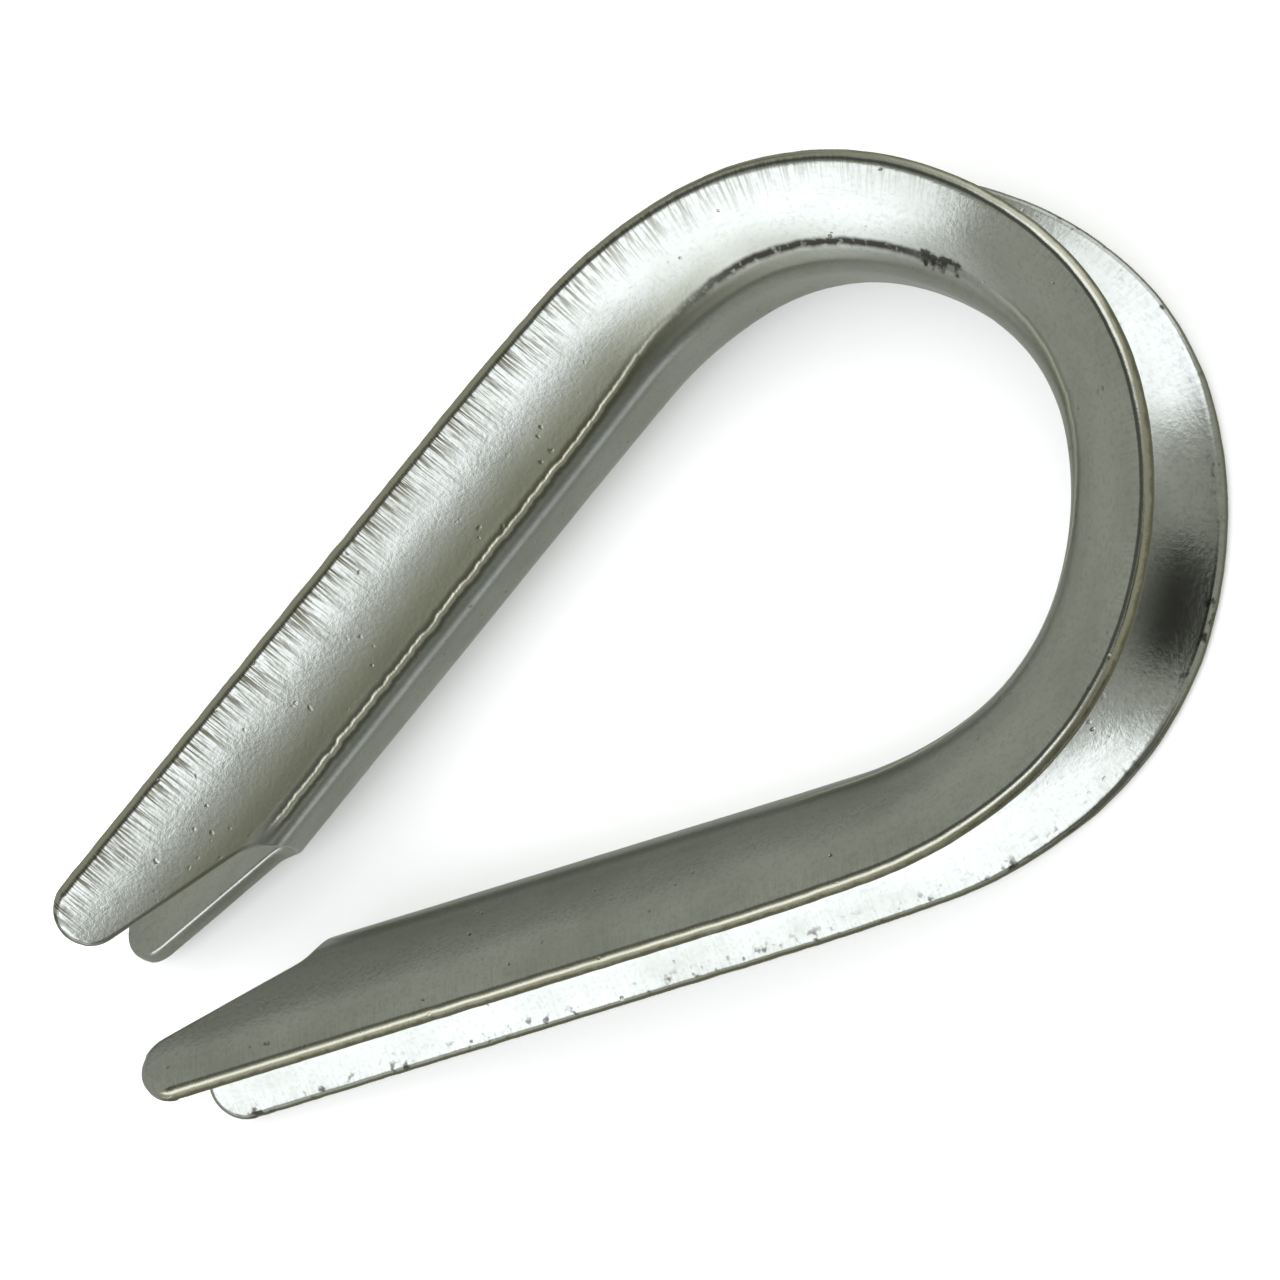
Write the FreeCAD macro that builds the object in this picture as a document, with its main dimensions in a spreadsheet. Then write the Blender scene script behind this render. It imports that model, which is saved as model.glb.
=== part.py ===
import FreeCAD, Part
import math
import os
import Sketcher

# Wire rope thimble: one strip of stainless sheet, pressed into a U channel and bent round
# into a pear shape with an open point. The rope lies in the channel, on the outside of the
# bend, and a pin or shackle sits in the eye. All sizes are in millimetres and degrees.
#
# Frame: +Z runs through the eye, +X along the length towards the crown, and the origin is
# the centre of the crown's arc, halfway between the two rims.

doc = FreeCAD.newDocument("WireRopeThimble")

# Driving dimensions.
sizes = doc.addObject("Spreadsheet::Sheet", "Sizes")
driving = {
    "sheetThickness": 1.0,
    "crownRadius": 12.3,      # eye face of the web, round the crown
    "crownTurn": 88,          # how far the crown's arc runs to each side of the +X axis
    "shoulderRadius": 20,     # easier arc between the crown and each leg
    "legTaper": 17,           # each leg leans in by this much
    "webRun": 29.7,           # straight leg, as far as the square end of its web
    "webFlat": 2.4,           # flat bottom of the channel
    "bendRadius": 0.8,        # inside of the bend between web and flange
    "crownFlare": 32,         # flanges lean out by this much round the crown
    "legFlare": 26.5,         # and by this much along the legs
    "crownLip": 5.4,          # eye face to the middle of the rounded rim, round the crown
    "legLip": 6.0,            # the same along the legs
    "blendTurn": 60,          # the section starts to change at this turn
    "blendRun": 7,            # and has changed this far along the straight leg
    "shoulderShare": 0.22,    # share of that change made where the shoulder's arc starts
    "legShare": 0.7,          # and where the straight leg starts
    "cutStart": 0.75,         # the slanting end cut leaves the web at this height
    "cutSlant": 13.5,
    "tipRadius": 1.8,
}
for row, (alias, value) in enumerate(driving.items(), start=1):
    sizes.set(f"A{row}", alias)
    sizes.set(f"B{row}", str(value))
    sizes.setAlias(f"B{row}", alias)
# The sections in between have flares and lips between the crown's and the leg's.
for row, (place, share) in enumerate((("shoulder", "shoulderShare"), ("legStart", "legShare")), start=1):
    for column, size in (("D", "Flare"), ("F", "Lip")):
        label = chr(ord(column) - 1)
        sizes.set(f"{label}{row}", place + size)
        sizes.set(f"{column}{row}", f"=crown{size} + {share} * (leg{size} - crown{size})")
        sizes.setAlias(f"{column}{row}", place + size)
doc.recompute()

# Where the shoulder's arc is centred and where the straight leg starts, as expressions.
sideTurn = "(90 + Sizes.legTaper)"
centreShift = "(Sizes.crownRadius - Sizes.shoulderRadius)"
shoulderX = f"{centreShift} * cos(Sizes.crownTurn)"
shoulderY = f"{centreShift} * sin(Sizes.crownTurn)"
legX = f"({shoulderX} + Sizes.shoulderRadius * cos({sideTurn}))"
legY = f"({shoulderY} + Sizes.shoulderRadius * sin({sideTurn}))"


def value(name):
    """A size from the sheet."""
    return float(sizes.get(name))


def unit(angle):
    """Unit vector in a sketch at an angle in degrees."""
    return FreeCAD.Vector(math.cos(math.radians(angle)), math.sin(math.radians(angle)), 0)


def arc(centre, radius, start, end):
    """Arc in a sketch, counter-clockwise between two angles in degrees."""
    circle = Part.Circle(centre, FreeCAD.Vector(0, 0, 1), radius)
    return Part.ArcOfCircle(circle, math.radians(start), math.radians(end))


def newSketch(body, name, role):
    """Sketch on one of the body's own origin planes."""
    sketch = body.newObject("Sketcher::SketchObject", name)
    plane = [item for item in body.Origin.OriginFeatures if item.Role == role][0]
    sketch.AttachmentSupport = (plane, "")
    sketch.MapMode = "FlatFace"
    return sketch


def dimension(sketch, name, expression, *constraint):
    """Dimension a sketch and bind the dimension to the sheet."""
    index = sketch.addConstraint(Sketcher.Constraint(*constraint))
    sketch.renameConstraint(index, name)
    sketch.setExpression(f"Constraints.{name}", expression)


def placeSketch(sketch, axis, turn, base):
    """Turn a sketch about an axis of its plane and shift it, both bound to the sheet."""
    sketch.AttachmentOffset = FreeCAD.Placement(FreeCAD.Vector(), FreeCAD.Rotation(axis, 1))
    sketch.setExpression("AttachmentOffset.Rotation.Angle", turn)
    for letter, expression in base.items():
        sketch.setExpression(f"AttachmentOffset.Base.{letter}", expression)


def drawSection(sketch, lead, flare, lip):
    """Channel section: x runs outwards from the arc's centre, y across the strip."""
    thickness = value("sheetThickness")
    leadSize, angle, lipSize = value(lead), value(flare), value(lip)
    flat = value("webFlat") / 2
    inner = value("bendRadius")
    outer = inner + thickness
    bend = FreeCAD.Vector(leadSize + outer, flat, 0)
    middle = (inner + outer) / 2
    along = unit(angle)
    outward = unit(angle + 90)
    run = (leadSize + lipSize - bend.x - middle * outward.x) / along.x
    rim = bend + outward * middle + along * run
    half = thickness / 2

    def flipped(point):
        return FreeCAD.Vector(point.x, -point.y, 0)

    def line(first, second):
        return Part.LineSegment(first, second)

    eyeTop = FreeCAD.Vector(leadSize, flat, 0)
    grooveTop = FreeCAD.Vector(leadSize + thickness, flat, 0)
    outerStart = bend + outward * outer
    innerStart = bend + outward * inner
    outerEnd = rim + outward * half
    innerEnd = rim - outward * half
    sketch.addGeometry([
        line(flipped(eyeTop), eyeTop),                                # 0 web, eye face
        arc(bend, outer, angle + 90, 180),                            # 1 outer bend
        line(outerStart, outerEnd),                                   # 2 flange, outer face
        arc(rim, half, angle - 90, angle + 90),                       # 3 rounded rim
        line(innerEnd, innerStart),                                   # 4 flange, groove face
        arc(bend, inner, angle + 90, 180),                            # 5 inner bend
        line(grooveTop, flipped(grooveTop)),                          # 6 web, groove face
        arc(flipped(bend), inner, 180, 270 - angle),                  # 7 inner bend
        line(flipped(innerStart), flipped(innerEnd)),                 # 8 flange, groove face
        arc(flipped(rim), half, -90 - angle, 90 - angle),             # 9 rounded rim
        line(flipped(outerEnd), flipped(outerStart)),                 # 10 flange, outer face
        arc(flipped(bend), outer, 180, 270 - angle),                  # 11 outer bend
    ])
    joints = [(0, 2, 1, 2), (1, 1, 2, 1), (2, 2, 3, 2), (3, 1, 4, 1), (4, 2, 5, 1), (5, 2, 6, 1),
              (6, 2, 7, 1), (7, 2, 8, 1), (8, 2, 9, 2), (9, 1, 10, 1), (10, 2, 11, 2), (11, 1, 0, 1)]
    for joint in joints:
        sketch.addConstraint(Sketcher.Constraint("Tangent", *joint))
    for web in (0, 6):
        sketch.addConstraint(Sketcher.Constraint("Symmetric", web, 1, web, 2, -1))
    sketch.addConstraint(Sketcher.Constraint("Coincident", 1, 3, 5, 3))
    sketch.addConstraint(Sketcher.Constraint("Parallel", 2, 4))
    sketch.addConstraint(Sketcher.Constraint("Equal", 1, 11))
    sketch.addConstraint(Sketcher.Constraint("Equal", 5, 7))
    sketch.addConstraint(Sketcher.Constraint("Parallel", 8, 10))
    sketch.addConstraint(Sketcher.Constraint("Symmetric", 2, 2, 10, 1, -1))
    dimension(sketch, "lead", f"Sizes.{lead}", "DistanceX", -1, 1, 0, 2, leadSize)
    dimension(sketch, "flat", "Sizes.webFlat", "DistanceY", 0, 1, 0, 2, 2 * flat)
    dimension(sketch, "outerBend", "Sizes.bendRadius + Sizes.sheetThickness", "Radius", 1, outer)
    dimension(sketch, "innerBend", "Sizes.bendRadius", "Radius", 5, inner)
    dimension(sketch, "flare", f"Sizes.{flare} * 1 deg", "Angle", -1, 1, 2, 1, math.radians(angle))
    dimension(sketch, "lip", f"Sizes.{lead} + Sizes.{lip}", "DistanceX", -1, 1, 3, 3, rim.x)


def drawSpine(sketch):
    """Centre path of the blend: end of the crown's arc, shoulder arc, start of the leg."""
    crown, shoulder = value("crownRadius"), value("shoulderRadius")
    start, middle, end = value("blendTurn"), value("crownTurn"), 90 + value("legTaper")
    origin = FreeCAD.Vector()
    centre = unit(middle) * (crown - shoulder)
    legStart = centre + unit(end) * shoulder
    legEnd = legStart + unit(end + 90) * value("blendRun")
    sketch.addGeometry([
        arc(origin, crown, start, middle),
        arc(centre, shoulder, middle, end),
        Part.LineSegment(legStart, legEnd),
    ])
    sketch.addConstraint(Sketcher.Constraint("Coincident", 0, 3, -1, 1))
    sketch.addConstraint(Sketcher.Constraint("Tangent", 0, 2, 1, 1))
    sketch.addConstraint(Sketcher.Constraint("Tangent", 1, 2, 2, 1))
    dimension(sketch, "crown", "Sizes.crownRadius", "Radius", 0, crown)
    dimension(sketch, "shoulder", "Sizes.shoulderRadius", "Radius", 1, shoulder)
    dimension(sketch, "startX", "Sizes.crownRadius * cos(Sizes.blendTurn)",
              "DistanceX", -1, 1, 0, 1, crown * math.cos(math.radians(start)))
    dimension(sketch, "crownArc", "(Sizes.crownTurn - Sizes.blendTurn) * 1 deg",
              "Angle", 0, math.radians(middle - start))
    dimension(sketch, "shoulderArc", f"({sideTurn} - Sizes.crownTurn) * 1 deg",
              "Angle", 1, math.radians(end - middle))
    dimension(sketch, "run", "Sizes.blendRun", "Distance", 2, value("blendRun"))


def drawEndCut(sketch):
    """Waste beyond the leg's end: x runs outwards from the eye face, y along the leg."""
    webEnd, start, slant = value("webRun"), value("cutStart"), value("cutSlant")
    radius = value("tipRadius")
    rim = value("legLip") + value("sheetThickness") / 2
    cut = FreeCAD.Vector(start, webEnd, 0)
    along = unit(90 - slant)
    across = unit(-slant)
    reach = (rim - radius - start - across.x * radius) / along.x
    tangent = cut + along * reach
    centre = tangent + across * radius
    spare = 4 * value("legLip")
    corners = [
        FreeCAD.Vector(rim, centre.y, 0),
        FreeCAD.Vector(rim + spare, centre.y, 0),
        FreeCAD.Vector(rim + spare, centre.y + spare, 0),
        FreeCAD.Vector(-spare, centre.y + spare, 0),
        FreeCAD.Vector(-spare, webEnd, 0),
        cut,
        tangent,
    ]
    sketch.addGeometry([Part.LineSegment(a, b) for a, b in zip(corners, corners[1:])])
    sketch.addGeometry(arc(centre, radius, 0, 180 - slant))
    for first in range(5):
        sketch.addConstraint(Sketcher.Constraint("Coincident", first, 2, first + 1, 1))
    sketch.addConstraint(Sketcher.Constraint("Tangent", 5, 2, 6, 2))
    sketch.addConstraint(Sketcher.Constraint("Coincident", 6, 1, 0, 1))
    for level in (0, 2, 4):
        sketch.addConstraint(Sketcher.Constraint("Horizontal", level))
    for upright in (1, 3):
        sketch.addConstraint(Sketcher.Constraint("Vertical", upright))
    sketch.addConstraint(Sketcher.Constraint("Horizontal", 6, 3, 6, 1))
    dimension(sketch, "rim", "Sizes.legLip + Sizes.sheetThickness / 2",
              "DistanceX", -1, 1, 6, 1, rim)
    dimension(sketch, "tip", "Sizes.tipRadius", "Radius", 6, radius)
    dimension(sketch, "webEnd", "Sizes.webRun", "DistanceY", -1, 1, 4, 2, webEnd)
    dimension(sketch, "cutStart", "Sizes.cutStart", "DistanceX", -1, 1, 4, 2, start)
    dimension(sketch, "slant", "(90 - Sizes.cutSlant) * 1 deg",
              "Angle", -1, 1, 5, 1, math.radians(90 - slant))
    dimension(sketch, "spareOut", "4 * Sizes.legLip", "DistanceX", 0, 1, 0, 2, spare)
    dimension(sketch, "spareUp", "4 * Sizes.legLip", "DistanceY", 1, 1, 1, 2, spare)
    dimension(sketch, "spareIn", "4 * Sizes.legLip", "DistanceX", 3, 2, -1, 1, spare)


# The bent strip.
body = doc.addObject("PartDesign::Body", "Thimble")
body.Label = "thimble"
upright = FreeCAD.Vector(0, 1, 0)
flat = FreeCAD.Vector(0, 0, 1)

# The crown turns about the Z axis, with the same section all the way.
crownSection = newSketch(body, "CrownSection", "XZ_Plane")
drawSection(crownSection, "crownRadius", "crownFlare", "crownLip")
crown = body.newObject("PartDesign::Revolution", "Crown")
crown.Profile = (crownSection, [""])
crown.ReferenceAxis = (crownSection, ["V_Axis"])
crown.Midplane = True
crown.setExpression("Angle", "2 * Sizes.blendTurn * 1 deg")

# The shoulder carries the flanges from their low, wide flare to the taller one of the leg.
# Sections in between keep the rim from being pulled in where the path turns.
shoulderSection = newSketch(body, "ShoulderSection", "XZ_Plane")
drawSection(shoulderSection, "crownRadius", "crownFlare", "crownLip")
placeSketch(shoulderSection, upright, "Sizes.blendTurn * 1 deg", {})
middleSection = newSketch(body, "MiddleSection", "XZ_Plane")
drawSection(middleSection, "crownRadius", "shoulderFlare", "shoulderLip")
placeSketch(middleSection, upright, "Sizes.crownTurn * 1 deg", {})
legStartSection = newSketch(body, "LegStartSection", "XZ_Plane")
drawSection(legStartSection, "shoulderRadius", "legStartFlare", "legStartLip")
placeSketch(legStartSection, upright, f"{sideTurn} * 1 deg", {
    "x": shoulderX,
    "z": f"-({shoulderY})",
})
legSection = newSketch(body, "LegSection", "XZ_Plane")
drawSection(legSection, "shoulderRadius", "legFlare", "legLip")
placeSketch(legSection, upright, f"{sideTurn} * 1 deg", {
    "x": f"{shoulderX} - Sizes.blendRun * sin({sideTurn})",
    "z": f"-({shoulderY} + Sizes.blendRun * cos({sideTurn}))",
})
spine = newSketch(body, "ShoulderPath", "XY_Plane")
drawSpine(spine)
doc.recompute()
shoulder = body.newObject("PartDesign::AdditivePipe", "Shoulder")
shoulder.Profile = (shoulderSection, [""])
shoulder.Spine = (spine, ["Edge1", "Edge2", "Edge3"])
shoulder.Sections = [(section, [""]) for section in (middleSection, legStartSection, legSection)]
shoulder.Transformation = "Multisection"
shoulder.Mode = "Binormal"
shoulder.Binormal = FreeCAD.Vector(0, 0, 1)

# The leg runs straight, longer than it ends up, and the end cut takes the waste away.
leg = body.newObject("PartDesign::Pad", "Leg")
leg.Profile = (legSection, [""])
leg.Reversed = True
leg.setExpression("Length", "Sizes.webRun - Sizes.blendRun + 3 * Sizes.legLip")
doc.recompute()
uncutVolume = leg.Shape.Volume

# The web is cut square. Each flange runs on past it as a tongue: its inner edge slants out
# from the web's corner and a round tip brings it back along the rim.
endCut = newSketch(body, "EndCut", "XY_Plane")
drawEndCut(endCut)
placeSketch(endCut, flat, f"{sideTurn} * 1 deg", {"x": legX, "y": legY})
legEnd = body.newObject("PartDesign::Pocket", "LegEnd")
legEnd.Profile = (endCut, [""])
legEnd.Type = "ThroughAll"
legEnd.Midplane = True
doc.recompute()

# The other leg is the mirror image.
otherLeg = body.newObject("PartDesign::Mirrored", "OtherLeg")
mirrorPlane = [item for item in body.Origin.OriginFeatures if item.Role == "XZ_Plane"][0]
otherLeg.MirrorPlane = (mirrorPlane, [""])
otherLeg.TransformMode = "Whole shape"
body.Tip = otherLeg
doc.recompute()

# Checks and export.
for item in doc.Objects:
    if "Invalid" in item.State or "Error" in item.State:
        raise RuntimeError(f"{item.Name} failed: {item.State}")
removed = uncutVolume - legEnd.Shape.Volume
if removed < 1:
    raise RuntimeError("the end cut removed nothing")
shape = body.Shape
if shape.isNull() or not shape.isValid() or len(shape.Solids) != 1:
    raise RuntimeError("the thimble is not one valid solid")

os.makedirs("parts", exist_ok=True)
shape.exportStep(f"parts/{body.Label}.step")

box = shape.optimalBoundingBox(True, False)
print(f"thimble {box.XLength:.2f} x {box.YLength:.2f} x {box.ZLength:.2f} mm")
print(f"x {box.XMin:.2f} to {box.XMax:.2f}, volume {shape.Volume:.1f} mm3, end cut {removed:.1f} mm3")
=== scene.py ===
# Thimble eye: one strip of stainless sheet, pressed to a channel and bent round into a pointed eye
from functools import partial
import math

import bpy
import bmesh
import numpy as np
from mathutils import Matrix, Vector


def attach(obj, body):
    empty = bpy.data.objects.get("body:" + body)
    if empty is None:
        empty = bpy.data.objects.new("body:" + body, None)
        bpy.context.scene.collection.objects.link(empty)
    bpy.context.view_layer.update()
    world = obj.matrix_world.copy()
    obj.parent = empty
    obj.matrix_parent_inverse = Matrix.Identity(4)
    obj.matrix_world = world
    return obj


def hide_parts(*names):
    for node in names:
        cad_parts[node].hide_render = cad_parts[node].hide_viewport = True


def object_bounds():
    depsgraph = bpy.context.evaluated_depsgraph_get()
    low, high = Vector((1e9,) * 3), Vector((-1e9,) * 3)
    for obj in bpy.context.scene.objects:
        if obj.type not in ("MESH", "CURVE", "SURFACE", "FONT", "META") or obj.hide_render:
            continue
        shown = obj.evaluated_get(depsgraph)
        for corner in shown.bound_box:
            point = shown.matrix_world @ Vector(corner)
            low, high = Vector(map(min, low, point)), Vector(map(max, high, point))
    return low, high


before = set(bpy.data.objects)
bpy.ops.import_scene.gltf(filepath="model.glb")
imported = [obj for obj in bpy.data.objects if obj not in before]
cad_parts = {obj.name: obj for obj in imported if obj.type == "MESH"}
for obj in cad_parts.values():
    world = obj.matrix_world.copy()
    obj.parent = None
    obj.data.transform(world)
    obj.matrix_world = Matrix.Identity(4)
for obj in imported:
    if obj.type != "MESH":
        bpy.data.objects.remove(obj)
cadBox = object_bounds()
mm = 0.001
print("frame loaded, box from", tuple(cadBox[0]), "to", tuple(cadBox[1]))

# the nodes that are used most
mathNode = "ShaderNodeMath"
rangeNode = "ShaderNodeMapRange"
vectorNode = "ShaderNodeVectorMath"
noiseNode = "ShaderNodeTexNoise"


def hexToLinear(code):
    channels = [int(code[i:i + 2], 16) / 255 for i in (1, 3, 5)]
    return tuple(c / 12.92 if c <= 0.04045 else ((c + 0.055) / 1.055) ** 2.4 for c in channels) + (1.0,)


def addNode(tree, kind, *values, pick=0, inputs=None, **settings):
    # values go to the first sockets and inputs to named ones, as numbers or as links; settings are the node's options
    node = tree.nodes.new(kind)
    for name, value in settings.items():
        setattr(node, name, value)
    for key, value in (*enumerate(values), *(inputs or {}).items()):
        if isinstance(value, bpy.types.NodeSocket):
            tree.links.new(value, node.inputs[key])
        else:
            node.inputs[key].default_value = value
    return node.outputs[pick]


camera = {
    "place": (255.364, -303.518, 893.261),   # mm
    "right": (0.791911, -0.464415, -0.396479),
    "up": (0.545940, 0.829330, 0.119003),
    "lens": 549.39,                          # mm
    "sensor": 36.0,
}


def makeCamera(c):
    data = bpy.data.cameras.new("studioCamera")
    data.lens = c["lens"]
    data.sensor_width = c["sensor"]
    data.clip_end = 20.0        # m
    obj = bpy.data.objects.new("studioCamera", data)
    right = Vector(c["right"]).normalized()
    back = right.cross(Vector(c["up"])).normalized()
    up = back.cross(right)
    turn = Matrix((right, up, back)).transposed().to_4x4()
    obj.matrix_world = Matrix.Translation(Vector(c["place"]) * mm) @ turn
    bpy.context.scene.collection.objects.link(obj)
    bpy.context.scene.camera = obj


makeCamera(camera)
print("camera placed")


# The strip is drawn as a flat blank first and then bent. Lengths are in mm and angles in degrees. Values in threes
# hold at the stations: the crown, the leg and the leg's end.
strip = {
    "sheet": 1.0,
    "crownTop": 12.3,           # the eye's edge, ahead of the origin
    # radius and turn of each span of the eye's line, from the crown's top
    "spans": ((9.69, 17.20), (14.88, 29.71), (11.40, 40.75), (19.37, 19.56)),
    "stations": (13.5, 33.4, 66.0),     # along the strip from the crown's top
    "webFlat": (1.50, 1.02, 0.72),      # half width of the channel's flat bottom
    "bendOuter": (2.30, 2.09, 1.90),    # outside radius of the bend between web and flange
    "rimOut": (5.29, 5.86, 6.00),       # the rim's middle, out from the eye's edge
    "rimHigh": (4.88, 4.81, 4.81),      # and up from the middle plane
    "webEnd": 55.2,             # along the strip
    "cutSlope": 0.30,           # how fast the tongue's inner edge slants out
    "tipRadius": 1.85,
    "tipReach": 65.55,          # along the strip
    "notchCorner": (1.6, 1.8),  # how far the notch's soft corner runs across the strip and along it
    "rimEdge": 0.46,            # rounding of the outer rim, nearly the full half thickness
    "tipEdge": 0.368,
    "cutEdge": 0.24,            # the cut ends stay squarer
    "lean": 0.22,               # the channel leans a little at the crown
    "leanLength": 9.0,          # and this far from its top
    "curl": -16.0,              # bow of the flanges, per m
    "waves": 0.025,             # left by the press
    "nicks": 0.15,              # in the rims
    "seed": 3.0,
    "rowStep": 0.34,            # mesh rows
    "endRows": 48,
    "endReach": 1.6,            # the closer rows start this far before the web's end
    "lineTail": 2.0,            # the line runs on past the tips
}


def stationMix(values, s):
    # the same easing between the stations as in the bending tree
    a, b, c = strip["stations"]
    f = np.clip((s - a) / (b - a), 0, 1)
    f = f * f * (3 - 2 * f)
    g = np.clip((s - b) / (c - b), 0, 1)
    return values[0] + (values[1] - values[0]) * f + (values[2] - values[1]) * g


def sectionSizes():
    # flare angle and half width of the blank at the stations, from where the rim is
    half = strip["sheet"] / 2
    flares, widths = [], []
    for flat, outer, out, high in zip(strip["webFlat"], strip["bendOuter"], strip["rimOut"], strip["rimHigh"]):
        middle = outer - half
        reach = math.hypot(out - outer, high - flat)
        flare = math.atan2(high - flat, out - outer) - math.asin(middle / reach)
        run = math.sqrt(reach ** 2 - middle ** 2)
        flares.append(flare)
        widths.append(flat + middle * (math.pi / 2 - flare) + run + half)
    return flares, widths


flares, halfWidths = sectionSizes()


def blankOutline():
    # a quarter of the blank's end, from the web's end round the tongue to the rim, as (across, along) in mm
    slope = math.atan(strip["cutSlope"])
    r = strip["tipRadius"]
    edge = float(stationMix(halfWidths, strip["tipReach"]))
    middle = Vector((strip["tipReach"] - r, edge - r))
    touch = middle + r * Vector((math.sin(slope), -math.cos(slope)))
    start = touch.y - (touch.x - strip["webEnd"]) * strip["cutSlope"]
    cornerAcross, cornerAlong = strip["notchCorner"]
    corner = (np.array((start - cornerAcross, strip["webEnd"])), np.array((start, strip["webEnd"])),
              np.array((start + cornerAlong * math.sin(slope), strip["webEnd"] + cornerAlong * math.cos(slope))))
    points = [(0.0, strip["webEnd"])]
    for f in np.linspace(0, 1, 9):
        points.append(tuple((1 - f) ** 2 * corner[0] + 2 * f * (1 - f) * corner[1] + f * f * corner[2]))
    points.append((touch.y, touch.x))
    for turn in np.linspace(slope - math.pi / 2, math.pi / 2, 41)[1:]:
        points.append((middle.y + r * math.sin(turn), middle.x + r * math.cos(turn)))
    return np.array(points), middle.y


def blankColumns(tipMiddle):
    # across the blank: close together in the bend, then by the tip's own angle out to the rim
    r = strip["tipRadius"]
    flat = strip["webFlat"][1]
    bendEnd = flat + (strip["bendOuter"][1] - strip["sheet"] / 2) * (math.pi / 2 - flares[1])
    angles = np.linspace(math.atan(strip["cutSlope"]) - math.pi / 2, math.pi / 2, 25)
    outer = tipMiddle + r * np.sin(angles)
    between = 1 + max(2, round((outer[0] - bendEnd) / 0.33))
    return np.r_[0.0, flat * 0.5, np.linspace(flat, bendEnd, 11), np.linspace(bendEnd, outer[0], between)[1:-1], outer]


def distanceTo(points, line):
    # shortest distance from each point to a polyline
    best = np.full(len(points), 1e9)
    for a, b in zip(line[:-1], line[1:]):
        d = b - a
        f = np.clip(((points - a) @ d) / max(float(d @ d), 1e-12), 0, 1)
        best = np.minimum(best, np.linalg.norm(points - (a + f[:, None] * d), axis=1))
    return best


def makeBlank():
    outline, tipMiddle = blankOutline()
    cols = blankColumns(tipMiddle)
    edge = float(stationMix(halfWidths, strip["tipReach"]))
    reach = np.interp(cols, outline[:, 0], outline[:, 1])
    rowsEnd = strip["webEnd"] - strip["endReach"]
    rows = np.linspace(0, rowsEnd, round(rowsEnd / strip["rowStep"]) + 1)
    share = 1 - (1 - np.arange(1, strip["endRows"] + 1) / strip["endRows"]) ** 1.8      # closer near the end
    along = np.r_[np.repeat(rows[:, None], len(cols), 1), rowsEnd + share[:, None] * (reach - rowsEnd)[None, :]]
    # the blank is a little narrower at the crown, so the columns follow its width there
    width = stationMix(halfWidths, along)
    inner = strip["webFlat"][1]
    spread = np.clip((cols - inner) / (edge - inner), 0, 1)
    across = cols[None, :] + spread[None, :] * (width - edge)
    # the rim, the tip and the cut end are rounded differently
    points = np.c_[across.ravel(), along.ravel()]
    rimAlong = np.linspace(0, outline[-1, 1], 60)
    rimLine = np.c_[stationMix(halfWidths, rimAlong), rimAlong]
    tipStart = len(outline) - 30
    half = strip["sheet"] / 2
    height = np.full(len(points), half)
    tipLine, cutLine = outline[tipStart:], outline[:tipStart + 1]
    for line, rounding in ((rimLine, strip["rimEdge"]), (tipLine, strip["tipEdge"]), (cutLine, strip["cutEdge"])):
        d = np.clip(distanceTo(points, line), 0, rounding)
        height = np.minimum(height, half - rounding + np.sqrt(np.maximum(rounding ** 2 - (rounding - d) ** 2, 0)))
    n, m = along.shape
    height = height.reshape(n, m)
    # the whole strip is mirrored along and across
    i, j = np.arange(1 - n, n), np.arange(1 - m, m)
    whole = np.ix_(abs(i), abs(j))
    return along[whole] * np.sign(i)[:, None], across[whole] * np.sign(j)[None, :], height[whole]


def blankMesh():
    # both faces and the edge of the blank as one closed mesh: x along, y across, z through the sheet
    s, v, h = makeBlank()
    n, m = s.shape
    top = np.stack([s, v, h], -1).reshape(-1, 3)
    low = np.stack([s, v, -h], -1).reshape(-1, 3)
    index = np.arange(n * m).reshape(n, m)
    quads = np.stack([index[:-1, :-1], index[1:, :-1], index[1:, 1:], index[:-1, 1:]], -1).reshape(-1, 4)
    loop = np.r_[index[:, -1], index[-1, -2::-1], index[-2::-1, 0], index[0, 1:-1]]
    # a band with one middle line closes the edge
    middle = (top[loop] + low[loop]) / 2
    ring = 2 * n * m + np.arange(len(loop))
    nextLoop, nextRing = np.roll(loop, -1), np.roll(ring, -1)
    bandTop = np.stack([loop, nextLoop, nextRing, ring], -1)
    bandLow = np.stack([ring, nextRing, nextLoop + n * m, loop + n * m], -1)
    verts = np.concatenate([top, low, middle]) * mm
    faces = np.concatenate([quads, quads[:, ::-1] + n * m, bandTop[:, ::-1], bandLow[:, ::-1]])
    mesh = bpy.data.meshes.new("blank")
    mesh.from_pydata(verts.tolist(), [], faces.tolist())
    uv = mesh.uv_layers.new(name="strip")
    corners = np.empty(len(mesh.loops), dtype=np.int64)
    mesh.loops.foreach_get("vertex_index", corners)
    place = verts[corners]
    under = (corners >= n * m) & (corners < 2 * n * m)
    # the upper face fills the lower half of the map and the lower face the upper half
    flat = np.c_[place[:, 0] / 0.15 + 0.5, place[:, 1] / 0.04 + 0.25 + 0.5 * under]
    uv.data.foreach_set("uv", flat.astype(np.float32).ravel())
    return mesh


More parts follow.
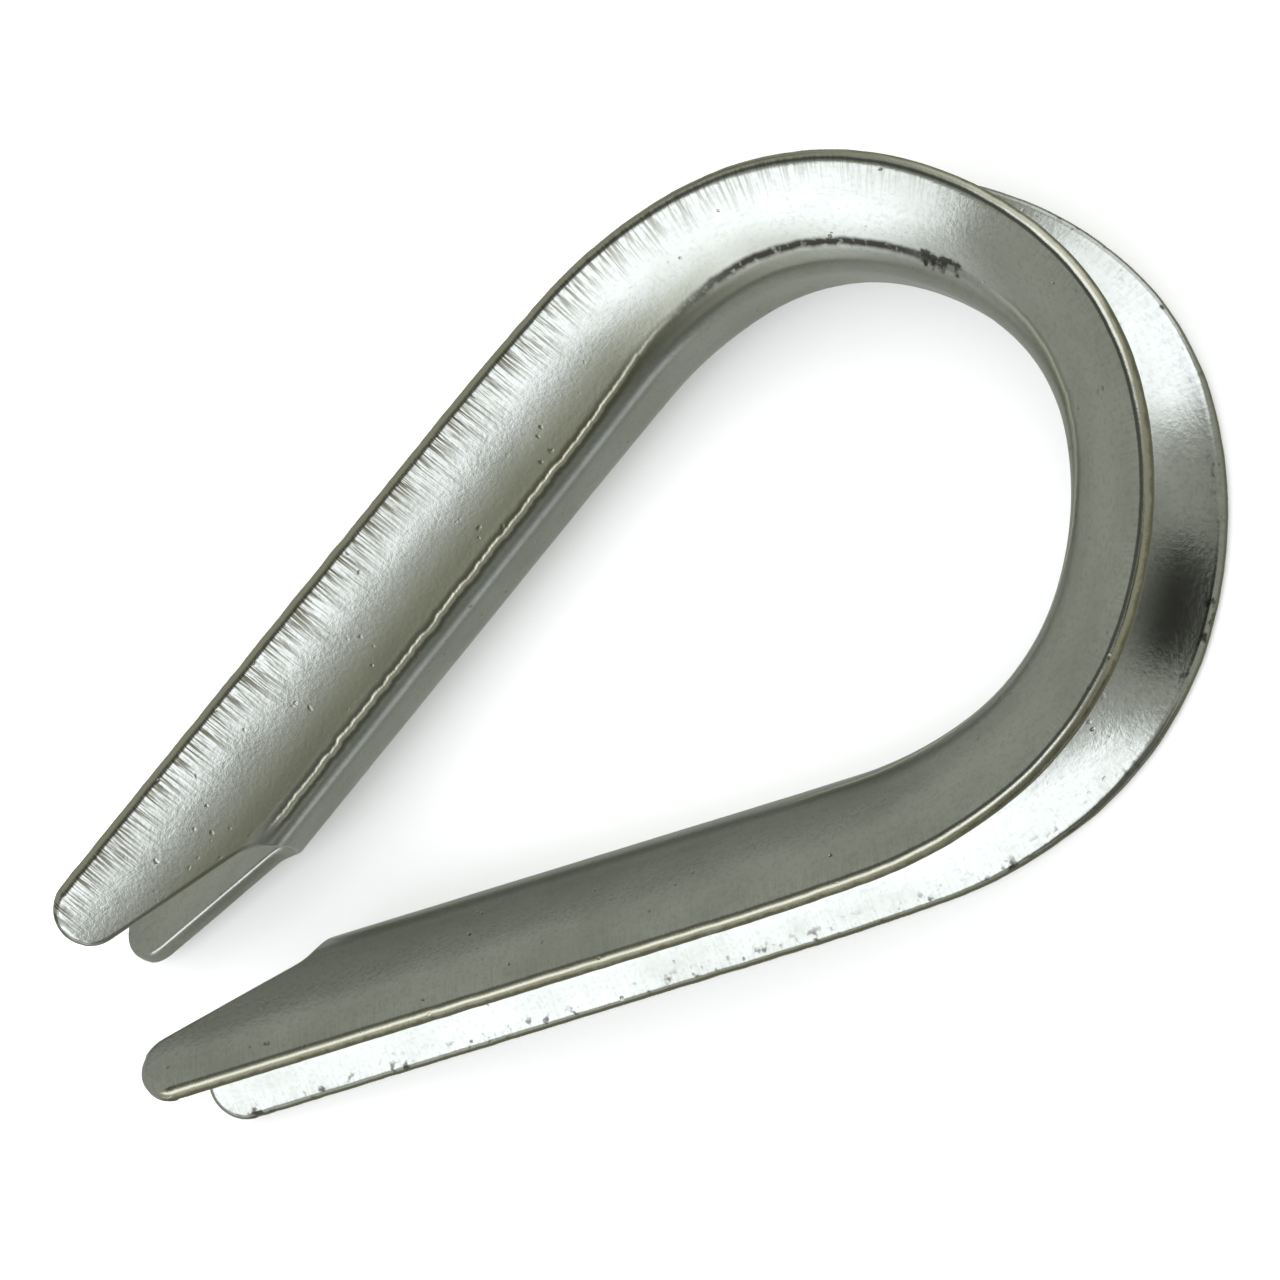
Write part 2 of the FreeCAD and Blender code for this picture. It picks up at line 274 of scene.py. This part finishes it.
def makeLine():
    # the eye's outline as one Bezier line, from the +Y leg's end round the crown to the -Y leg's end
    turn = 0.0
    centre = Vector((strip["crownTop"] - strip["spans"][0][0], 0.0))
    half = []       # point, way, handle before, handle after
    for k, (radius, angle) in enumerate(strip["spans"]):
        parts = max(1, math.ceil(angle / 12))
        step = math.radians(angle) / parts
        handle = radius * 4 / 3 * math.tan(step / 4)
        if half:
            # the arcs meet with one way and their own curvature
            centre = half[-1][0] - radius * Vector((math.cos(turn), math.sin(turn)))
            half[-1][3] = handle
        for part in range(1 if half else 0, parts + 1):
            a = turn + step * part
            spot = Vector((math.cos(a), math.sin(a)))
            half.append([centre + radius * spot, Vector((-spot.y, spot.x)), handle, handle])
        turn += math.radians(angle)
    legLength = strip["tipReach"] + strip["lineTail"] - sum(r * math.radians(a) for r, a in strip["spans"])
    way = half[-1][1]
    half[-1][3] = legLength / 3
    half.append([half[-1][0] + way * legLength, way, legLength / 3, legLength / 3])
    curve = bpy.data.curves.new("eyeLine", "CURVE")
    curve.dimensions = "3D"
    spline = curve.splines.new("BEZIER")
    spline.resolution_u = 24
    spline.bezier_points.add(2 * len(half) - 2)
    whole = [(p, -w, after, before) for p, w, before, after in reversed(half[1:])]
    whole.append((half[0][0], Vector((0, -1)), half[0][3], half[0][3]))
    whole += [(Vector((p.x, -p.y)), Vector((w.x, -w.y)), before, after) for p, w, before, after in half[1:]]
    for knot, (p, w, before, after) in zip(spline.bezier_points, whole):
        knot.handle_left_type = knot.handle_right_type = "FREE"
        knot.co = p.to_3d() * mm
        knot.handle_left = (p - w * before).to_3d() * mm
        knot.handle_right = (p + w * after).to_3d() * mm
    obj = bpy.data.objects.new("eyeLine", curve)
    bpy.context.scene.collection.objects.link(obj)
    return obj


def bendTree():
    # bends the flat blank: across it into the channel's section, and along it round the eye's line
    tree = bpy.data.node_groups.new("bendStrip", "GeometryNodeTree")
    add = partial(addNode, tree)
    face = tree.interface
    face.new_socket("Geometry", in_out="INPUT", socket_type="NodeSocketGeometry")
    kinds = {"Line": "NodeSocketObject", "Finish": "NodeSocketMaterial"}
    names = ["Line", "Finish", "Sheet", "Lean", "Lean length", "Curl", "Waves", "Nicks", "Seed"]
    names += [what + where for what in ("Station", "Flat", "Bend", "Flare") for where in (" crown", " leg", " end")]
    ids = {}
    for name in names:
        socket = face.new_socket(name, in_out="INPUT", socket_type=kinds.get(name, "NodeSocketFloat"))
        ids[name] = socket.identifier
    face.new_socket("Geometry", in_out="OUTPUT", socket_type="NodeSocketGeometry")
    given = tree.nodes.new("NodeGroupInput").outputs

    place = add("GeometryNodeInputPosition")
    kept = add("GeometryNodeStoreNamedAttribute", data_type="FLOAT_VECTOR", domain="POINT",
               inputs={"Geometry": given["Geometry"], "Name": "blank", "Value": place})
    s, v, h = add("ShaderNodeSeparateXYZ", place).node.outputs
    distance = add(mathNode, s, operation="ABSOLUTE")
    width = add(mathNode, v, operation="ABSOLUTE")
    side = add(mathNode, v, operation="SIGN")

    # the section's sizes here, between those at the crown, the leg and the leg's end
    toLeg = add(rangeNode, distance, given["Station crown"], given["Station leg"], interpolation_type="SMOOTHSTEP")
    toEnd = add(rangeNode, distance, given["Station leg"], given["Station end"])
    here = {}
    for what in ("Flat", "Bend", "Flare"):
        first, second, third = (given[what + where] for where in (" crown", " leg", " end"))
        change = add(mathNode, second, first, operation="SUBTRACT")
        value = add(mathNode, toLeg, change, first, operation="MULTIPLY_ADD")
        change = add(mathNode, third, second, operation="SUBTRACT")
        here[what] = add(mathNode, toEnd, change, value, operation="MULTIPLY_ADD")

    # across the blank: flat, then round the bend by an angle, then straight up the flange
    halfSheet = add(mathNode, given["Sheet"], 0.5, operation="MULTIPLY")
    bend = add(mathNode, here["Bend"], halfSheet, operation="SUBTRACT")
    fullTurn = add(mathNode, math.pi / 2, here["Flare"], operation="SUBTRACT")
    pastFlat = add(mathNode, width, here["Flat"], operation="SUBTRACT")
    pastFlat = add(mathNode, pastFlat, 0.0, operation="MAXIMUM")
    turn = add(mathNode, pastFlat, bend, operation="DIVIDE")
    turn = add(mathNode, turn, fullTurn, operation="MINIMUM")
    bendArc = add(mathNode, bend, fullTurn, operation="MULTIPLY")
    run = add(mathNode, pastFlat, bendArc, operation="SUBTRACT")
    run = add(mathNode, run, 0.0, operation="MAXIMUM")
    sine = add(mathNode, turn, operation="SINE")
    cosine = add(mathNode, turn, operation="COSINE")
    drop = add(mathNode, 1.0, cosine, operation="SUBTRACT")
    out = add(mathNode, bend, drop, halfSheet, operation="MULTIPLY_ADD")
    out = add(mathNode, run, sine, out, operation="MULTIPLY_ADD")
    high = add(mathNode, width, here["Flat"], operation="MINIMUM")
    high = add(mathNode, bend, sine, high, operation="MULTIPLY_ADD")
    high = add(mathNode, run, cosine, high, operation="MULTIPLY_ADD")

    # the sheet's face, off its middle: with the flange's slight bow and the press's waves
    flangeRun = 0.0054      # m, so the bow is nothing at both its ends
    bow = add(mathNode, run, flangeRun, operation="SUBTRACT")
    bow = add(mathNode, bow, run, operation="MULTIPLY")
    bow = add(mathNode, bow, given["Curl"], operation="MULTIPLY")
    # the waves are about 4 mm apart
    waves = add(noiseNode, noise_dimensions="4D",
                inputs={"Vector": place, "W": given["Seed"], "Scale": 260.0, "Detail": 2.0, "Roughness": 0.5})
    waves = add(mathNode, waves, 0.5, operation="SUBTRACT")
    lift = add(mathNode, waves, given["Waves"], h, operation="MULTIPLY_ADD")
    lift = add(mathNode, lift, bow, operation="ADD")
    liftOut = add(mathNode, lift, cosine, operation="MULTIPLY")
    out = add(mathNode, out, liftOut, operation="SUBTRACT")
    high = add(mathNode, lift, sine, high, operation="MULTIPLY_ADD")

    # small nicks about 1 mm apart pull the rim back
    nearRim = add(rangeNode, width, 0.0072, 0.0084, interpolation_type="SMOOTHSTEP")
    drawn = add(vectorNode, place, (1.0, 0.15, 0.15), operation="MULTIPLY")
    nick = add(noiseNode, noise_dimensions="4D",
               inputs={"Vector": drawn, "W": given["Seed"], "Scale": 900.0, "Detail": 3.0, "Roughness": 0.6})
    nick = add(mathNode, nick, 0.5, operation="SUBTRACT")
    nick = add(mathNode, nick, nearRim, operation="MULTIPLY")
    nick = add(mathNode, nick, given["Nicks"], operation="MULTIPLY")
    out = add(mathNode, nick, sine, out, operation="MULTIPLY_ADD")
    high = add(mathNode, nick, cosine, high, operation="MULTIPLY_ADD")

    # at the crown the channel leans a little, and less and less up the flange
    fade = add(mathNode, distance, given["Lean length"], operation="DIVIDE")
    fade = add(mathNode, fade, 2.0, operation="POWER")
    fade = add(mathNode, fade, -1.0, operation="MULTIPLY")
    fade = add(mathNode, fade, operation="EXPONENT")
    lean = add(mathNode, width, here["Flat"], operation="DIVIDE")
    lean = add(mathNode, lean, 1.0, operation="MINIMUM")
    lean = add(mathNode, lean, side, operation="MULTIPLY")
    lean = add(mathNode, lean, given["Lean"], operation="MULTIPLY")
    left = add(mathNode, run, -230.0, 1.0, operation="MULTIPLY_ADD")
    left = add(mathNode, left, 0.0, operation="MAXIMUM")
    lean = add(mathNode, lean, left, operation="MULTIPLY")
    out = add(mathNode, lean, fade, out, operation="MULTIPLY_ADD")
    high = add(mathNode, high, side, operation="MULTIPLY")

    # along the blank: round the eye's line, which starts at the +Y leg's end
    line = add("GeometryNodeObjectInfo", given["Line"], transform_space="ORIGINAL", pick="Geometry")
    lineLength = add("GeometryNodeCurveLength", line)
    lineAt = add(mathNode, lineLength, 0.5, operation="MULTIPLY")
    lineAt = add(mathNode, lineAt, s, operation="SUBTRACT")
    sample = add("GeometryNodeSampleCurve", mode="LENGTH", use_all_curves=True,
                 inputs={"Curves": line, "Length": lineAt}).node.outputs
    across = add(vectorNode, (0.0, 0.0, 1.0), sample["Tangent"], operation="CROSS_PRODUCT")
    across = add(vectorNode, across, operation="NORMALIZE")
    shift = add(vectorNode, across, operation="SCALE", inputs={"Scale": out})
    rise = add("ShaderNodeCombineXYZ", 0.0, 0.0, high)
    spot = add(vectorNode, sample["Position"], shift, operation="ADD")
    spot = add(vectorNode, spot, rise, operation="ADD")
    bent = add("GeometryNodeSetPosition", inputs={"Geometry": kept, "Position": spot})
    real = add("GeometryNodeRealizeInstances", bent)
    done = add("GeometryNodeSetMaterial", inputs={"Geometry": real, "Material": given["Finish"]})
    tree.links.new(done, tree.nodes.new("NodeGroupOutput").inputs[0])
    return tree, ids


steel = {
    "body": "#b4b6ad",          # the satin grey of the sheet
    "dull": "#96988c",          # where the tumbling left it duller
    "stain": "#5e5a48",         # press grime in the drag marks and pits, and painted shade in the dark lines beside the tool line
    "grime": "#2b2822",         # near black: painted shade along the crease at the crown, also the dark blot by the line and grime specks by the far rim
    "line": "#e6e0c8",          # the scuffed tool line, painted far paler than the steel: partly a painted highlight
    "rimHighlight": "#adaa96",     # a painted highlight on the rim's half toward the sheet's upper face
    "tan": "#8e8e76",           # painted shade, a darker olive, along the foot of the dragged flange by the bend
    "rim": "#7f7b64",           # the cut edge keeps a straw tint
    "satin": 0.30,              # roughness of the sheet, less where the die rubbed it bright
    "dragLength": 2.6,          # mm, how far the drag marks run in from the rim
    "pitSize": 0.7,             # mm, and so are the next lengths
    "pitShake": 0.4,
    "rimAt": 8.1,               # out from the middle of the flat blank
    "blotAt": 7.2,              # along the strip
    "lineToLeg": (14.0, 31.0, 3.6, 2.38),       # from and to along the strip, with the line's place out at both
    "lineToCrown": (-18.0, 6.0, 2.4, 3.6),
    "lineSlope": -0.016,        # how fast it comes in on the straight leg
    "raggedness": 0.30,
    # noise patterns: size in mm, detail, and the squeeze along the strip, across it and through it
    "patterns": {
        "grain": (0.20, 3.0, (1.0, 1.0, 1.0)),      # tumbling grain, drawn coarser than the real 0.03 so that it shows
        "cloud": (3.2, 3.0, (0.6, 1.0, 1.0)),
        "drag": (0.11, 2.0, (1.0, 0.05, 0.0)),      # one mark's width, about twice too wide for the same reason
        "dragReach": (0.9, 3.0, (1.0, 0.0, 0.0)),
        "ragged": (0.9, 3.0, (1.0, 0.2, 0.2)),
        "pitPlace": (2.5, 2.0, (1.0, 1.0, 1.0)),
        "crownBreaks": (0.3, 2.0, (1.0, 1.0, 1.0)),
        "blotBreaks": (0.45, 3.0, (1.0, 1.0, 1.0)),
        "specks": (0.55, 2.0, (1.0, 1.0, 1.0)),
        "rimTone": (0.5, 2.0, (1.0, 1.0, 1.0)),
    },
    # soft fades: what they go by, where they start and end (mm, unless by a pattern), the value before and after
    "fades": {
        "nearSide": ("across", 0.0, 1.0, 0.0, 1.0),
        "farSide": ("across", 0.0, 1.0, 1.0, 0.0),
        "flange": ("width", 3.4, 6.2, 0.0, 1.0),
        "rimEdge": ("width", 7.95, 8.15, 0.0, 1.0),
        "speckBand": ("width", 7.0, 7.8, 0.0, 1.0),
        "footStart": ("width", 2.0, 2.6, 0.0, 1.0),
        "footEnd": ("width", 3.0, 5.6, 0.85, 0.0),
        "dragLeg": ("along", 4.0, 30.0, 0.0, 1.0),
        "lineStart": ("along", 20.0, 29.0, 0.0, 1.0),
        "lineEnd": ("along", 53.5, 55.5, 1.0, 0.0),
        "faintStart": ("along", -32.0, -24.0, 0.0, 0.5),
        "faintEnd": ("along", 1.0, 6.0, 1.0, 0.0),
        "crownStart": ("along", 3.0, 10.0, 0.0, 1.0),
        "crownEnd": ("along", 17.0, 25.0, 1.0, 0.0),
        "scuff": ("offLine", 0.04, 0.13, 1.0, 0.0),
        "besideStart": ("offLine", 0.10, 0.18, 0.0, 1.0),
        "besideEnd": ("offLine", 0.22, 0.42, 1.0, 0.0),
        "ridge": ("offLine", 0.0, 0.16, 1.0, 0.0),
        "creaseIn": ("fromLine", -0.38, -0.12, 0.0, 1.0),
        "creaseOut": ("fromLine", 0.02, 0.28, 1.0, 0.0),
        "blotAlong": ("fromBlot", 0.6, 2.2, 1.0, 0.0),
        "blotAcross": ("offLine", 0.2, 1.0, 1.0, 0.0),
        "clouded": ("cloud", 0.35, 0.75, 0.0, 0.5),
        "grained": ("grain", 0.45, 0.70, 0.0, 0.42),
        "dragLines": ("drag", 0.44, 0.60, 0.0, 1.0),
        "pitArea": ("pitPlace", 0.52, 0.66, 0.0, 1.0),
        "pitHole": ("pitSpread", 0.06, 0.20, 1.0, 0.0),
        "crownBroken": ("crownBreaks", 0.3, 0.5, 0.55, 0.97),
        "speckled": ("specks", 0.56, 0.70, 0.0, 1.0),
    },
    # where each mark shows: these multiplied
    "marks": {
        # painted shade along the flange's foot, just past the bend
        "foot": ("footStart", "footEnd", "dragged"),
        "pit": ("pitHole", "pitArea"),
        "pitStain": ("pit", 0.6),
        # painted shade in the crease at the crown, where the same line shows bright on the leg
        "crownGrime": ("creaseIn", "creaseOut", "crownStart", "crownEnd", "nearSide", "crownBroken"),
        "speckGrime": ("speckled", "speckBand", "farSide", 0.85),
        "toolLine": ("lineBoth", "nearSide"),
        # painted shade: the dark lines on both sides of the tool line
        "lineStain": ("besideStart", "besideEnd", "toolLine", 0.6),
        # the tool line's pale scuff: a real scuff, made brighter as a painted highlight
        "lineScuff": ("scuff", "toolLine", 0.9),
        "lineRidge": ("ridge", "toolLine"),
        "dragShow": ("dragFade", "dragForce"),
        "dragStain": ("dragLines", "dragShow"),
        "dragRelief": ("drag", "dragShow"),
        "blotGrime": ("blotSpread", "nearSide"),
    },
    # the colours over the body's, from the bottom up, and the mark that each one shows in
    # the flange's foot, the lines beside the tool line and the crown's crease are painted shade; the tool line's pale
    # scuff is partly a painted highlight
    "layers": (("clouded", "dull"), ("grained", "dull"), ("foot", "tan"), ("dragStain", "stain"), ("pitStain", "stain"),
               ("lineStain", "stain"), ("lineScuff", "line"), ("crownGrime", "grime"), ("blotGrime", "grime"),
               ("speckGrime", "grime")),
    # what the marks add to the roughness, and their height in mm
    "roughening": {"flange": -0.155, "cloud": 0.10, "rimEdge": 0.12, "dragStain": 0.15},
    "relief": {"grain": 0.007, "lineRidge": 0.03, "dragRelief": 0.014, "pit": -0.02},
}


def makeSteel():
    # Stainless steel sheet, blanked, pressed and tumbled. The eye gets a satin grey with fine grain, bright where the
    # die rubbed the flanges, combed drag marks in from the rims, a straw tint on the cut edge and a few pits. Shade is
    # painted along the near bend and in the crown's crease, and highlights on the tool line and the rim.
    mat = bpy.data.materials.new("tumbledStainlessSteel")
    mat.use_nodes = True
    tree = mat.node_tree
    add = partial(addNode, tree)
    shader = tree.nodes["Principled BSDF"]
    shader.inputs["Metallic"].default_value = 1.0

    # all patterns lie on the flat blank, so they are bent with the strip; from here on its lengths are in mm
    blank = add("ShaderNodeAttribute", attribute_type="GEOMETRY", attribute_name="blank", pick="Vector")
    blank = add(vectorNode, blank, operation="SCALE", inputs={"Scale": 1 / mm})
    along, across, depth = add("ShaderNodeSeparateXYZ", blank).node.outputs
    width = add(mathNode, across, operation="ABSOLUTE")
    known = {"along": along, "across": across, "width": width}
    for seed, (name, (size, detail, squeeze)) in enumerate(steel["patterns"].items(), 1):
        place = add(vectorNode, blank, squeeze, operation="MULTIPLY")
        known[name] = add(noiseNode, noise_dimensions="4D", inputs={
            "Vector": place, "W": seed / mm, "Scale": 1 / size, "Detail": detail, "Roughness": 0.6})

    # pits are small cells with their outline shaken
    shake = add(noiseNode, inputs={"Vector": blank, "Scale": 1.5}, pick="Color")
    shake = add(vectorNode, shake, operation="SCALE", inputs={"Scale": steel["pitShake"]})
    shaken = add(vectorNode, blank, shake, operation="ADD")
    known["pitSpread"] = add("ShaderNodeTexVoronoi", feature="F1", distance="EUCLIDEAN", inputs={
        "Vector": shaken, "Scale": 1 / steel["pitSize"], "Randomness": 1.0})

    # the edge of the press tool left a ragged line along the near bend, further out at the crown than on the leg
    toLeg = add(rangeNode, along, *steel["lineToLeg"], interpolation_type="SMOOTHSTEP")
    toCrown = add(rangeNode, along, *steel["lineToCrown"], interpolation_type="SMOOTHSTEP")
    lineAt = add(mathNode, toLeg, toCrown, operation="MINIMUM")
    onLeg = add(mathNode, along, steel["lineToLeg"][1], operation="SUBTRACT")
    onLeg = add(mathNode, onLeg, 0.0, operation="MAXIMUM")
    lineAt = add(mathNode, onLeg, steel["lineSlope"], lineAt, operation="MULTIPLY_ADD")
    fromLine = add(mathNode, width, lineAt, operation="SUBTRACT")
    ragged = add(mathNode, known["ragged"], 0.5, operation="SUBTRACT")
    known["fromLine"] = add(mathNode, ragged, steel["raggedness"], fromLine, operation="MULTIPLY_ADD")
    known["offLine"] = add(mathNode, known["fromLine"], operation="ABSOLUTE")

    # a dark blot lies at one end of that line
    fromBlot = add(mathNode, along, steel["blotAt"], operation="SUBTRACT")
    known["fromBlot"] = add(mathNode, fromBlot, operation="ABSOLUTE")

    for name, (what, start, end, before, after) in steel["fades"].items():
        known[name] = add(rangeNode, known[what], start, end, before, after, interpolation_type="SMOOTHSTEP")

    # the drag marks start at the rim and end ragged, and the die dragged hardest on one flange of one leg
    known["dragged"] = add(mathNode, known["dragLeg"], known["nearSide"], operation="MULTIPLY")
    known["dragForce"] = add(mathNode, known["dragged"], 0.9, 0.1, operation="MULTIPLY_ADD")
    reach = add(mathNode, known["dragReach"], steel["dragLength"] * 2, operation="MULTIPLY")
    fromRim = add(mathNode, steel["rimAt"], width, operation="SUBTRACT")
    known["dragFade"] = add(rangeNode, fromRim, 0.0, reach, 1.0, 0.0, interpolation_type="SMOOTHSTEP")

    # the tool line shows on one leg and faintly past the crown, and its blot has a broken outline
    faint = add(mathNode, known["faintStart"], known["faintEnd"], operation="MULTIPLY")
    known["lineBoth"] = add(mathNode, known["lineStart"], known["lineEnd"], faint, operation="MULTIPLY_ADD")
    blot = add(mathNode, known["blotAlong"], known["blotAcross"], operation="MULTIPLY")
    blot = add(mathNode, blot, known["blotBreaks"], operation="MULTIPLY")
    known["blotSpread"] = add(rangeNode, blot, 0.36, 0.56, 0.0, 0.9, interpolation_type="SMOOTHSTEP")

    for name, (first, *others) in steel["marks"].items():
        share = known[first]
        for other in others:
            share = add(mathNode, share, known.get(other, other), operation="MULTIPLY")
        known[name] = share

    # colour: the layers on the faces, then the rim, with a painted highlight on its half toward the sheet's upper face
    colour = hexToLinear(steel["body"])
    for mark, name in steel["layers"]:
        colour = add("ShaderNodeMix", known[mark], data_type="RGBA", pick=2,
                     inputs={6: colour, 7: hexToLinear(steel[name])})
    uneven = add(mathNode, known["rimTone"], 0.5, operation="SUBTRACT")
    uneven = add(mathNode, uneven, 0.6, depth, operation="MULTIPLY_ADD")
    rimHighlightShare = add(rangeNode, uneven, -0.1, 0.2, interpolation_type="SMOOTHSTEP")
    rim = add("ShaderNodeMix", rimHighlightShare, data_type="RGBA", pick=2,
              inputs={6: hexToLinear(steel["rim"]), 7: hexToLinear(steel["rimHighlight"])})
    colour = add("ShaderNodeMix", known["rimEdge"], data_type="RGBA", pick=2, inputs={6: colour, 7: rim})
    tree.links.new(colour, shader.inputs["Base Color"])

    rough = steel["satin"] - steel["roughening"]["cloud"] / 2      # the clouds go both ways
    for mark, amount in steel["roughening"].items():
        rough = add(mathNode, known[mark], amount, rough, operation="MULTIPLY_ADD", use_clamp=mark == "dragStain")
    tree.links.new(rough, shader.inputs["Roughness"])

    height = 0.0
    for mark, amount in steel["relief"].items():
        height = add(mathNode, known[mark], amount, height, operation="MULTIPLY_ADD")
    bump = add("ShaderNodeBump", inputs={"Strength": 1.0, "Distance": mm, "Height": height})
    tree.links.new(bump, shader.inputs["Normal"])
    return mat


def makeThimble():
    mesh = blankMesh()
    obj = bpy.data.objects.new("thimbleStrip", mesh)
    bpy.context.scene.collection.objects.link(obj)
    line = makeLine()
    finish = makeSteel()
    mesh.materials.append(finish)
    tree, ids = bendTree()
    mod = obj.modifiers.new("bend", "NODES")
    mod.node_group = tree
    values = {"Line": line, "Finish": finish, "Curl": strip["curl"], "Seed": strip["seed"]}
    lengths = {"Sheet": "sheet", "Lean": "lean", "Lean length": "leanLength", "Waves": "waves", "Nicks": "nicks"}
    for name, key in lengths.items():
        values[name] = strip[key] * mm
    for k, name in enumerate(("crown", "leg", "end")):
        values["Station " + name] = strip["stations"][k] * mm
        values["Flat " + name] = strip["webFlat"][k] * mm
        values["Bend " + name] = strip["bendOuter"][k] * mm
        values["Flare " + name] = flares[k]
    for name, value in values.items():
        mod[ids[name]] = value
    bpy.context.view_layer.update()
    seen = obj.evaluated_get(bpy.context.evaluated_depsgraph_get())
    shaped = bpy.data.meshes.new_from_object(seen)
    obj.modifiers.clear()
    obj.data = shaped
    bpy.data.objects.remove(line)
    bm = bmesh.new()
    bm.from_mesh(shaped)
    bmesh.ops.remove_doubles(bm, verts=bm.verts, dist=1e-7)
    bmesh.ops.recalc_face_normals(bm, faces=bm.faces)
    for f in bm.faces:
        f.smooth = True
    openEdges = [e for e in bm.edges if not e.is_manifold]
    print("strip bent:", len(bm.faces), "faces,", len(openEdges), "open edges, volume mm3", bm.calc_volume() * 1e9)
    bm.to_mesh(shaped)
    bm.free()
    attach(obj, "root")
    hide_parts("thimble")


makeThimble()

studio = {
    "floor": "#f4f4f2",
    "floorSize": 1.6,           # m
    "room": 0.50,               # brightness of the room all round
    "below": 0.46,              # and of the table that the metal mirrors
    "roomTint": (0.985, 1.02, 0.95),
    "panelTint": (0.95, 0.985, 1.14),
    "fill": 3.2,                # a sun that lights the paper and not the metal's reflections
    "fillAngle": 150.0,
    # soft panels: turn from +X and tilt from straight up, full and faded half widths in degrees, strength
    "panels": {
        "key": (-130, 41, 12, 18, 1.95),
        "keyFar": (-160, 50, 12, 16, 1.9),
        "keySide": (-111, 27, 9, 14, 2.0),
        "back": (35, 45, 15, 24, 1.85),
        "rightLow": (40, 86, 12, 32, 0.9),
        "frontStrip": (-86, 124, 4, 12, 0.6),
        "leftLow": (-140, 78, 8, 20, 0.4),
    },
    # black flags between them: the same, with the share of the room that they hide
    "flags": {
        "top": (90, 14, 16, 32, 0.75),
        "camera": (-42, 29, 8, 12, 0.95),
        "front": (-88, 62, 15, 24, 0.6),
        "frontLow": (-85, 100, 16, 26, 0.6),
        "under": (-88, 143, 3, 8, 0.6),
        "backLow": (94, 85, 9, 13, 0.7),
    },
}


def makeFloor():
    size = studio["floorSize"] / 2
    low = cadBox[0][2]      # the thimble lies on it
    corners = [(x * size, y * size, low) for x, y in ((-1, -1), (1, -1), (1, 1), (-1, 1))]
    mesh = bpy.data.meshes.new("floor")
    mesh.from_pydata(corners, [], [(0, 1, 2, 3)])
    obj = bpy.data.objects.new("floor", mesh)
    mat = bpy.data.materials.new("whitePaper")
    mat.use_nodes = True
    shader = mat.node_tree.nodes["Principled BSDF"]
    shader.inputs["Base Color"].default_value = hexToLinear(studio["floor"])
    shader.inputs["Roughness"].default_value = 0.9      # plain paper
    mesh.materials.append(mat)
    bpy.context.scene.collection.objects.link(obj)
    obj.visible_glossy = False      # the metal mirrors the studio's own grey, as it would on a raised stand


def direction(turn, tilt):
    turn, tilt = math.radians(turn), math.radians(tilt)
    return (math.sin(tilt) * math.cos(turn), math.sin(tilt) * math.sin(turn), math.cos(tilt))


def makeStudio():
    world = bpy.data.worlds.new("studio")
    world.use_nodes = True
    tree = world.node_tree
    add = partial(addNode, tree)
    way = add("ShaderNodeTexCoord", pick="Generated")
    up = add("ShaderNodeSeparateXYZ", way, pick="Z")
    room = add(rangeNode, up, -0.1, 0.1, studio["below"], studio["room"], interpolation_type="SMOOTHSTEP")
    panels = 0.0
    # the flags darken the room, and panels that overlap don't add up
    for table in ("flags", "panels"):
        for turn, tilt, full, faded, amount in studio[table].values():
            near, far = math.cos(math.radians(full)), math.cos(math.radians(faded))
            facing = add(vectorNode, way, direction(turn, tilt), operation="DOT_PRODUCT", pick="Value")
            first, last = (1.0, 1.0 - amount) if table == "flags" else (0.0, amount)
            spot = add(rangeNode, facing, far, near, first, last, interpolation_type="SMOOTHSTEP")
            if table == "flags":
                room = add(mathNode, room, spot, operation="MULTIPLY")
            else:
                panels = add(mathNode, panels, spot, operation="MAXIMUM")
    roomLight = add(vectorNode, studio["roomTint"], operation="SCALE", inputs={"Scale": room})
    panelLight = add(vectorNode, studio["panelTint"], operation="SCALE", inputs={"Scale": panels})
    light = add(vectorNode, roomLight, panelLight, operation="ADD")
    tree.links.new(light, tree.nodes["Background"].inputs["Color"])
    bpy.context.scene.world = world
    fill = bpy.data.lights.new("paperFill", "SUN")
    fill.energy = studio["fill"]
    fill.angle = math.radians(studio["fillAngle"])
    obj = bpy.data.objects.new("paperFill", fill)
    obj.visible_glossy = False
    bpy.context.scene.collection.objects.link(obj)
    bpy.context.scene.view_settings.view_transform = "Standard"


makeFloor()
makeStudio()
print("studio set")
